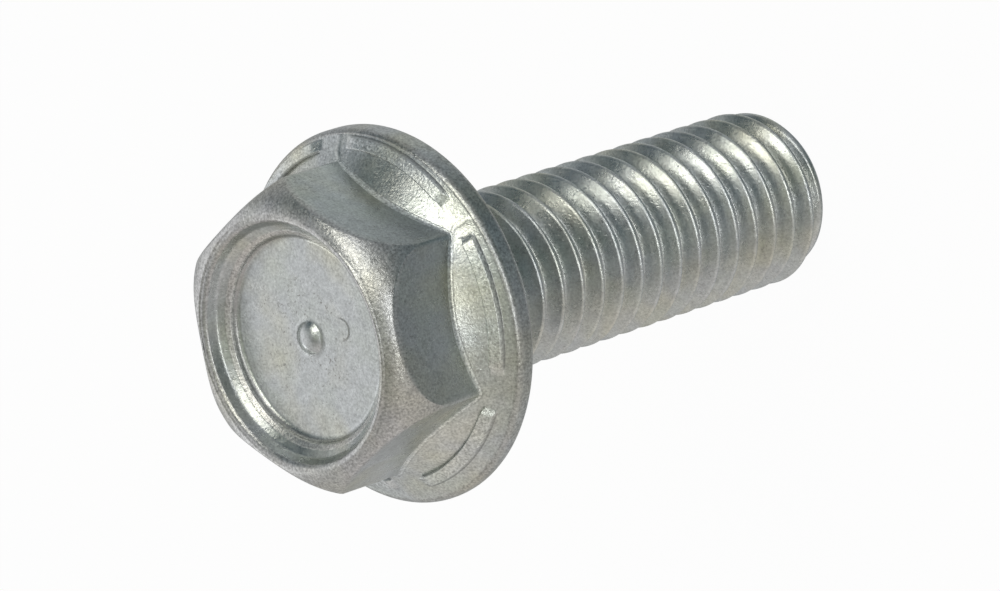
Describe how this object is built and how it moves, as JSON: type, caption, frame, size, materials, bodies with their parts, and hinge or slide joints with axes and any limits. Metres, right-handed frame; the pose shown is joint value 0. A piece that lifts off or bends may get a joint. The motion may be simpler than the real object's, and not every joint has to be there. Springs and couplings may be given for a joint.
{
  "type": "flange bolt",
  "caption": "Hexagon head bolt with a round sloping flange, a shallow stepped recess in the head, raised arc bars on the flange and a coarse right-hand thread.",
  "frame": {"origin": "centre of the bearing face, the flat underside of the flange", "axes": "+Z along the bolt's axis, from the threaded end to the head; +X and -X square to two of the hexagon's flats"},
  "size_m": [0.0264, 0.0264, 0.0471],
  "materials": {
    "zinc_plated_steel": "clear zinc plating, satin and fine-grained, with faint yellow and blue tints"
  },
  "bodies": {
    "root": {"flange_bolt": "zinc_plated_steel"}
  },
  "joints": []
}
